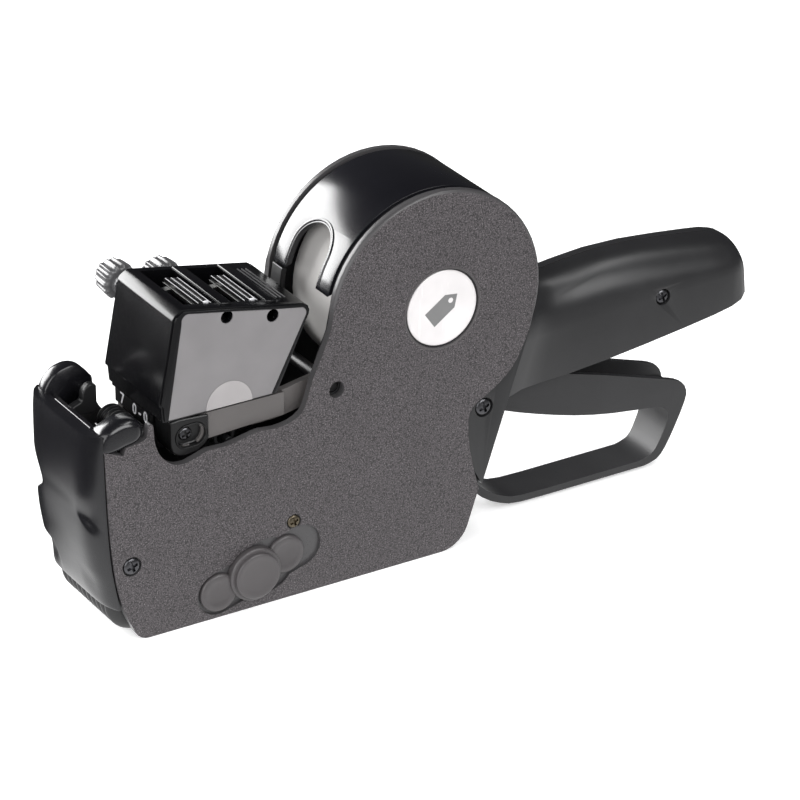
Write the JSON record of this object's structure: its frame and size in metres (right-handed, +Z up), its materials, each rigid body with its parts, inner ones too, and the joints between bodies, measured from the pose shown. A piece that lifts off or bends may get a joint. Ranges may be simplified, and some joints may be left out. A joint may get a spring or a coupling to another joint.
{
  "type": "price labeling gun",
  "caption": "Hand-held price labeller: squeezing the trigger loop inks and drops a numbering head onto a label strip and feeds the label under a soft roller.",
  "frame": {"origin": "on the flat base, near the middle of its length, on the mid-plane between the two side covers", "axes": "+Z up from the base, -X towards the nose where labels come out, +X towards the handle, +Y towards the selector knobs"},
  "size_m": [0.2357, 0.0509, 0.1188],
  "materials": {
    "left_side_cover": "pebbled dark grey",
    "right_side_cover": "pebbled dark grey",
    "left_frame": "satin black",
    "right_frame": "satin black",
    "front_nose": "high gloss black",
    "left_badge": "smooth white",
    "right_badge": "smooth white",
    "left_roll_hub": "satin black",
    "right_roll_hub": "satin black",
    "platen": "matt",
    "label_guide": "zinc plated",
    "peel_bar": "bright",
    "strip_guide_finger": "satin black",
    "head_pivot_pin": "bright",
    "trigger_pivot_pin": "bright",
    "feed_axle": "bright",
    "base_hinge_pin": "bright",
    "roll_cover_hinge_pin": "bright",
    "applicator_axle": "bright",
    "ink_arm_pin": "bright",
    "trigger_return_spring": "bright",
    "left_front_screw": "black oxide",
    "base_lock_screw": "satin",
    "trigger_pivot_screw": "black oxide",
    "handle_screw": "black oxide",
    "roll_cover": "high gloss black",
    "base_cover": "satin black",
    "pinch_axle": "bright",
    "pinch_roller": "matt",
    "latch_slider": "pebbled dark grey",
    "trigger": "satin black",
    "drive_pin": "bright",
    "head_link": "zinc plated",
    "feed_link": "zinc plated",
    "feed_rocker": "zinc plated",
    "feed_pawl": "bright",
    "feed_wheel": "satin black",
    "ratchet_wheel": "bright",
    "label_roll": "matt",
    "label_core": "matt",
    "applicator_roller": "matt",
    "head_housing": "satin black",
    "left_head_plate": "satin grey",
    "right_head_plate": "satin grey",
    "head_carrier": "satin grey",
    "front_type_bands": "matt",
    "rear_type_bands": "matt",
    "front_band_axle": "zinc plated",
    "rear_band_axle": "zinc plated",
    "front_anvil": "bright",
    "rear_anvil": "bright",
    "head_lug_screw": "black oxide",
    "ink_arm": "satin black",
    "ink_roller_axle": "bright",
    "ink_roller": "ink-soaked foam",
    "front_index_bar": "zinc plated",
    "front_selector_knob": "satin grey",
    "rear_index_bar": "zinc plated",
    "rear_selector_knob": "satin grey"
  },
  "bodies": {
    "housing": {"left_side_cover": "left_side_cover", "right_side_cover": "right_side_cover", "left_frame": "left_frame", "right_frame": "right_frame", "front_nose": "front_nose", "left_badge": "left_badge", "right_badge": "right_badge", "left_roll_hub": "left_roll_hub", "right_roll_hub": "right_roll_hub", "platen": "platen", "label_guide": "label_guide", "peel_bar": "peel_bar", "strip_guide_finger": "strip_guide_finger", "head_pivot_pin": "head_pivot_pin", "trigger_pivot_pin": "trigger_pivot_pin", "feed_axle": "feed_axle", "base_hinge_pin": "base_hinge_pin", "roll_cover_hinge_pin": "roll_cover_hinge_pin", "applicator_axle": "applicator_axle", "ink_arm_pin": "ink_arm_pin", "trigger_return_spring": "trigger_return_spring", "left_front_screw": "left_front_screw", "base_lock_screw": "base_lock_screw", "trigger_pivot_screw": "trigger_pivot_screw", "handle_screw": "handle_screw"},
    "roll_cover": {"roll_cover": "roll_cover"},
    "base_cover": {"base_cover": "base_cover", "pinch_axle": "pinch_axle"},
    "pinch_roller": {"pinch_roller": "pinch_roller"},
    "latch": {"latch_slider": "latch_slider"},
    "trigger": {"trigger": "trigger", "drive_pin": "drive_pin"},
    "head_link": {"head_link": "head_link"},
    "feed_link": {"feed_link": "feed_link"},
    "feed_rocker": {"feed_rocker": "feed_rocker"},
    "feed_pawl": {"feed_pawl": "feed_pawl"},
    "feed_wheel": {"feed_wheel": "feed_wheel", "ratchet_wheel": "ratchet_wheel"},
    "label_roll": {"label_roll": "label_roll", "label_core": "label_core"},
    "applicator": {"applicator_roller": "applicator_roller"},
    "print_head": {"head_housing": "head_housing", "left_head_plate": "left_head_plate", "right_head_plate": "right_head_plate", "head_carrier": "head_carrier", "front_type_bands": "front_type_bands", "rear_type_bands": "rear_type_bands", "front_band_axle": "front_band_axle", "rear_band_axle": "rear_band_axle", "front_anvil": "front_anvil", "rear_anvil": "rear_anvil", "head_lug_screw": "head_lug_screw"},
    "ink_arm": {"ink_arm": "ink_arm", "ink_roller_axle": "ink_roller_axle"},
    "ink_roller": {"ink_roller": "ink_roller"},
    "front_selector": {"front_index_bar": "front_index_bar"},
    "front_knob": {"front_selector_knob": "front_selector_knob"},
    "rear_selector": {"rear_index_bar": "rear_index_bar"},
    "rear_knob": {"rear_selector_knob": "rear_selector_knob"}
  },
  "joints": [
    {"name": "trigger_squeeze", "type": "hinge", "parent": "housing", "child": "trigger", "pos_m": [0.063, 0, 0.0447], "axis": [0, -1, 0], "range_deg": [0, 16], "stiffness_Nm_per_rad": 0.6, "springref_deg": -17.19},
    {"name": "head_swing", "type": "hinge", "parent": "housing", "child": "print_head", "pos_m": [0.0117, 0, 0.064], "axis": [0, -1, 0], "range_deg": [0, 16]},
    {"name": "head_link_turn", "type": "hinge", "parent": "trigger", "child": "head_link", "pos_m": [0.05738, 0, 0.03079], "axis": [0, -1, 0], "range_deg": [-16, 0]},
    {"name": "feed_rocker_turn", "type": "hinge", "parent": "housing", "child": "feed_rocker", "pos_m": [0.014, 0, 0.024], "axis": [0, -1, 0], "range_deg": [0, 43.2]},
    {"name": "feed_link_turn", "type": "hinge", "parent": "trigger", "child": "feed_link", "pos_m": [0.05738, 0, 0.03079], "axis": [0, -1, 0], "range_deg": [-17.25, 0]},
    {"name": "pawl_lift", "type": "hinge", "parent": "feed_rocker", "child": "feed_pawl", "pos_m": [0.02076, 0, 0.03671], "axis": [0, 1, 0], "range_deg": [0, 8]},
    {"name": "feed_wheel_spin", "type": "hinge", "parent": "housing", "child": "feed_wheel", "pos_m": [0.014, 0, 0.024], "axis": [0, -1, 0], "continuous": true},
    {"name": "ink_arm_swing", "type": "hinge", "parent": "housing", "child": "ink_arm", "pos_m": [-0.0495, 0, 0.045], "axis": [0, -1, 0], "range_deg": [0, 20]},
    {"name": "ink_roller_spin", "type": "hinge", "parent": "ink_arm", "child": "ink_roller", "pos_m": [-0.0474, 0, 0.0578], "axis": [0, 1, 0], "continuous": true},
    {"name": "label_roll_spin", "type": "hinge", "parent": "housing", "child": "label_roll", "pos_m": [0.046, 0, 0.0828], "axis": [0, 1, 0], "continuous": true},
    {"name": "applicator_spin", "type": "hinge", "parent": "housing", "child": "applicator", "pos_m": [-0.0526, 0, 0.011], "axis": [0, 1, 0], "continuous": true},
    {"name": "roll_cover_hinge", "type": "hinge", "parent": "housing", "child": "roll_cover", "pos_m": [0.0775, 0, 0.094], "axis": [0, 1, 0], "range_deg": [0, 75]},
    {"name": "base_cover_hinge", "type": "hinge", "parent": "housing", "child": "base_cover", "pos_m": [0.0445, 0, 0.0042], "axis": [0, -1, 0], "range_deg": [0, 60]},
    {"name": "pinch_roller_spin", "type": "hinge", "parent": "base_cover", "child": "pinch_roller", "pos_m": [0.014, 0, 0.0059], "axis": [0, 1, 0], "continuous": true},
    {"name": "latch_slide", "type": "slide", "parent": "housing", "child": "latch", "axis": [0.9613, 0, 0.2756], "range_m": [0, 0.005]},
    {"name": "front_selector_pull", "type": "slide", "parent": "print_head", "child": "front_selector", "axis": [0, 1, 0], "range_m": [0, 0.005]},
    {"name": "front_knob_turn", "type": "hinge", "parent": "front_selector", "child": "front_knob", "pos_m": [-0.0369, 0, 0.0942], "axis": [0, 1, 0], "continuous": true},
    {"name": "rear_selector_pull", "type": "slide", "parent": "print_head", "child": "rear_selector", "axis": [0, 1, 0], "range_m": [0, 0.005]},
    {"name": "rear_knob_turn", "type": "hinge", "parent": "rear_selector", "child": "rear_knob", "pos_m": [-0.0218, 0, 0.0913], "axis": [0, 1, 0], "continuous": true}
  ],
  "couplings": [
    {"joint": "head_swing", "follows": "trigger_squeeze", "ratio": 1},
    {"joint": "head_link_turn", "follows": "trigger_squeeze", "ratio": -1},
    {"joint": "feed_rocker_turn", "follows": "trigger_squeeze", "ratio": 2.7},
    {"joint": "feed_link_turn", "follows": "trigger_squeeze", "ratio": -1.078},
    {"joint": "ink_arm_swing", "follows": "trigger_squeeze", "ratio": 1.25}
  ]
}
